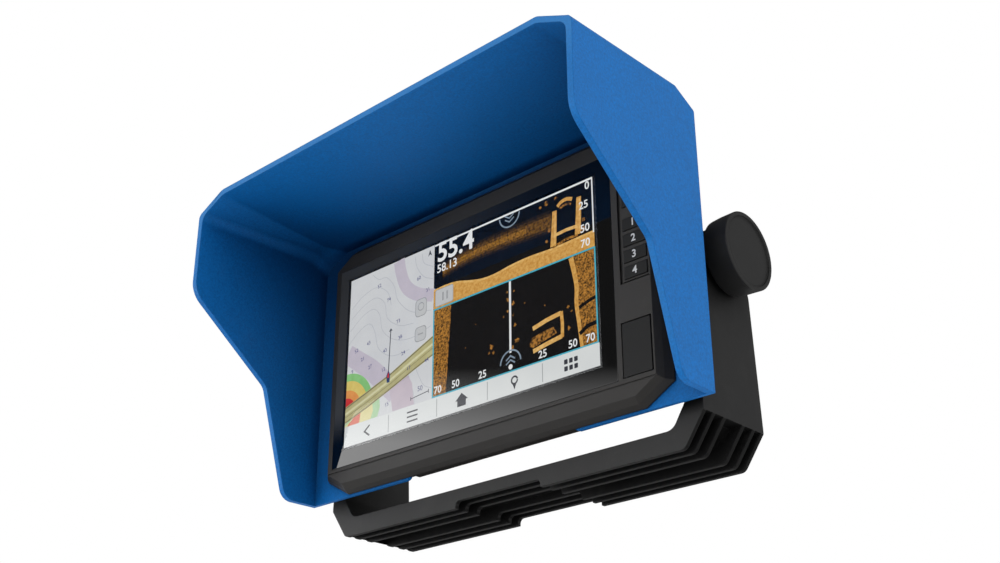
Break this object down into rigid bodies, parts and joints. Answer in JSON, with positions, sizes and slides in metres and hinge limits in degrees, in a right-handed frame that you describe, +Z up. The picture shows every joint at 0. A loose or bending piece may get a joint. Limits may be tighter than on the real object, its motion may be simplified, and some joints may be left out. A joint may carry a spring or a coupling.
{
  "type": "chartplotter display",
  "caption": "Wide touchscreen chartplotter display with a side key column and card door, deep moulded sun visor, and a U-shaped bail bracket with two clamping knobs.",
  "frame": {"origin": "bottom centre of the unit's bounding box: on the deck surface, 54.05 mm in front of the tilt axis, midway between the bracket's arms", "axes": "+X to the right of a person facing the screen, +Y from the screen towards the rear sockets, +Z up"},
  "size_m": [0.3068, 0.1624, 0.1933],
  "materials": {
    "visor_plastic": "satin moulded plastic, fine grain",
    "bezel_plastic": "matte moulded plastic",
    "bracket_plastic": "matte glass-filled nylon",
    "knob_plastic": "matte soft-touch plastic",
    "key_plastic": "matte plastic with white digits",
    "cover_glass": "polished, black printed border",
    "lcd_cell": "polarizer film",
    "sheet_steel": "pressed sheet",
    "turned_steel": "turned, plated",
    "turned_brass": "turned",
    "cast_aluminium": "die cast",
    "circuit_board": "solder mask",
    "black_rubber": "moulded rubber",
    "bearing_plastic": "acetal",
    "ceramic": "ceramic patch",
    "seal_foam": "foam adhesive"
  },
  "bodies": {
    "bracket": {"bail_bracket": "bracket_plastic", "arm_bush_left": "bearing_plastic", "arm_bush_right": "bearing_plastic", "friction_washer_left": "black_rubber", "friction_washer_right": "black_rubber"},
    "display": {"sun_visor": "visor_plastic", "front_bezel": "bezel_plastic", "touch_glass": "cover_glass", "glass_gasket": "seal_foam", "lcd_panel": "lcd_cell", "backlight_frame": "sheet_steel", "main_board": "circuit_board", "shield_can": "sheet_steel", "heat_spreader": "cast_aluminium", "gnss_antenna": "ceramic", "buzzer": "key_plastic", "card_reader": "sheet_steel", "keypad_plate": "bezel_plastic", "keypad_mat": "black_rubber", "key_board": "circuit_board", "door_pin": "turned_steel", "rear_housing": "bezel_plastic", "housing_seal": "black_rubber", "housing_screws": "turned_steel", "vent_plug": "black_rubber", "contact_block": "key_plastic", "cradle": "bracket_plastic", "thread_insert_left": "turned_brass", "thread_insert_right": "turned_brass", "lever_pin": "turned_steel", "rear_sockets": "knob_plastic", "socket_caps": "black_rubber"},
    "key_power": {"key_power": "key_plastic"},
    "key_1": {"key_1": "key_plastic"},
    "key_2": {"key_2": "key_plastic"},
    "key_3": {"key_3": "key_plastic"},
    "key_4": {"key_4": "key_plastic"},
    "card_door": {"card_door": "key_plastic"},
    "release_lever": {"release_lever": "bracket_plastic"},
    "washer_left": {"knob_washer_left": "turned_steel"},
    "washer_right": {"knob_washer_right": "turned_steel"},
    "knob_left": {"knob_head_left": "knob_plastic", "knob_stud_left": "turned_steel"},
    "knob_right": {"knob_head_right": "knob_plastic", "knob_stud_right": "turned_steel"}
  },
  "joints": [
    {"name": "display_tilt", "type": "hinge", "parent": "bracket", "child": "display", "pos_m": [0, 0.05405, 0.107], "axis": [-1, 0, 0], "range_deg": [-2.5, 40]},
    {"name": "key_power_press", "type": "slide", "parent": "display", "child": "key_power", "axis": [0, 1, 0], "range_m": [0, 0.0008], "stiffness_N_per_m": 900},
    {"name": "key_1_press", "type": "slide", "parent": "display", "child": "key_1", "axis": [0, 1, 0], "range_m": [0, 0.0008], "stiffness_N_per_m": 900},
    {"name": "key_2_press", "type": "slide", "parent": "display", "child": "key_2", "axis": [0, 1, 0], "range_m": [0, 0.0008], "stiffness_N_per_m": 900},
    {"name": "key_3_press", "type": "slide", "parent": "display", "child": "key_3", "axis": [0, 1, 0], "range_m": [0, 0.0008], "stiffness_N_per_m": 900},
    {"name": "key_4_press", "type": "slide", "parent": "display", "child": "key_4", "axis": [0, 1, 0], "range_m": [0, 0.0008], "stiffness_N_per_m": 900},
    {"name": "card_door_hinge", "type": "hinge", "parent": "display", "child": "card_door", "pos_m": [0.1034, 0.01045, 0.05215], "axis": [0, 0, -1], "range_deg": [0, 100]},
    {"name": "release_lever_hinge", "type": "hinge", "parent": "display", "child": "release_lever", "pos_m": [0, 0.06695, 0.122], "axis": [-1, 0, 0], "range_deg": [0, 35]},
    {"name": "knob_left_travel", "type": "slide", "parent": "display", "child": "washer_left", "axis": [-1, 0, 0], "range_m": [0, 0.002]},
    {"name": "knob_left_turn", "type": "hinge", "parent": "washer_left", "child": "knob_left", "pos_m": [-0.1454, 0.05405, 0.107], "axis": [-1, 0, 0], "range_deg": [0, 720.5]},
    {"name": "knob_right_travel", "type": "slide", "parent": "display", "child": "washer_right", "axis": [1, 0, 0], "range_m": [0, 0.002]},
    {"name": "knob_right_turn", "type": "hinge", "parent": "washer_right", "child": "knob_right", "pos_m": [0.1454, 0.05405, 0.107], "axis": [1, 0, 0], "range_deg": [0, 720.5]}
  ],
  "couplings": [
    {"joint": "knob_left_turn", "follows": "knob_left_travel", "rad_per_m": 6283.2},
    {"joint": "knob_right_turn", "follows": "knob_right_travel", "rad_per_m": 6283.2}
  ]
}
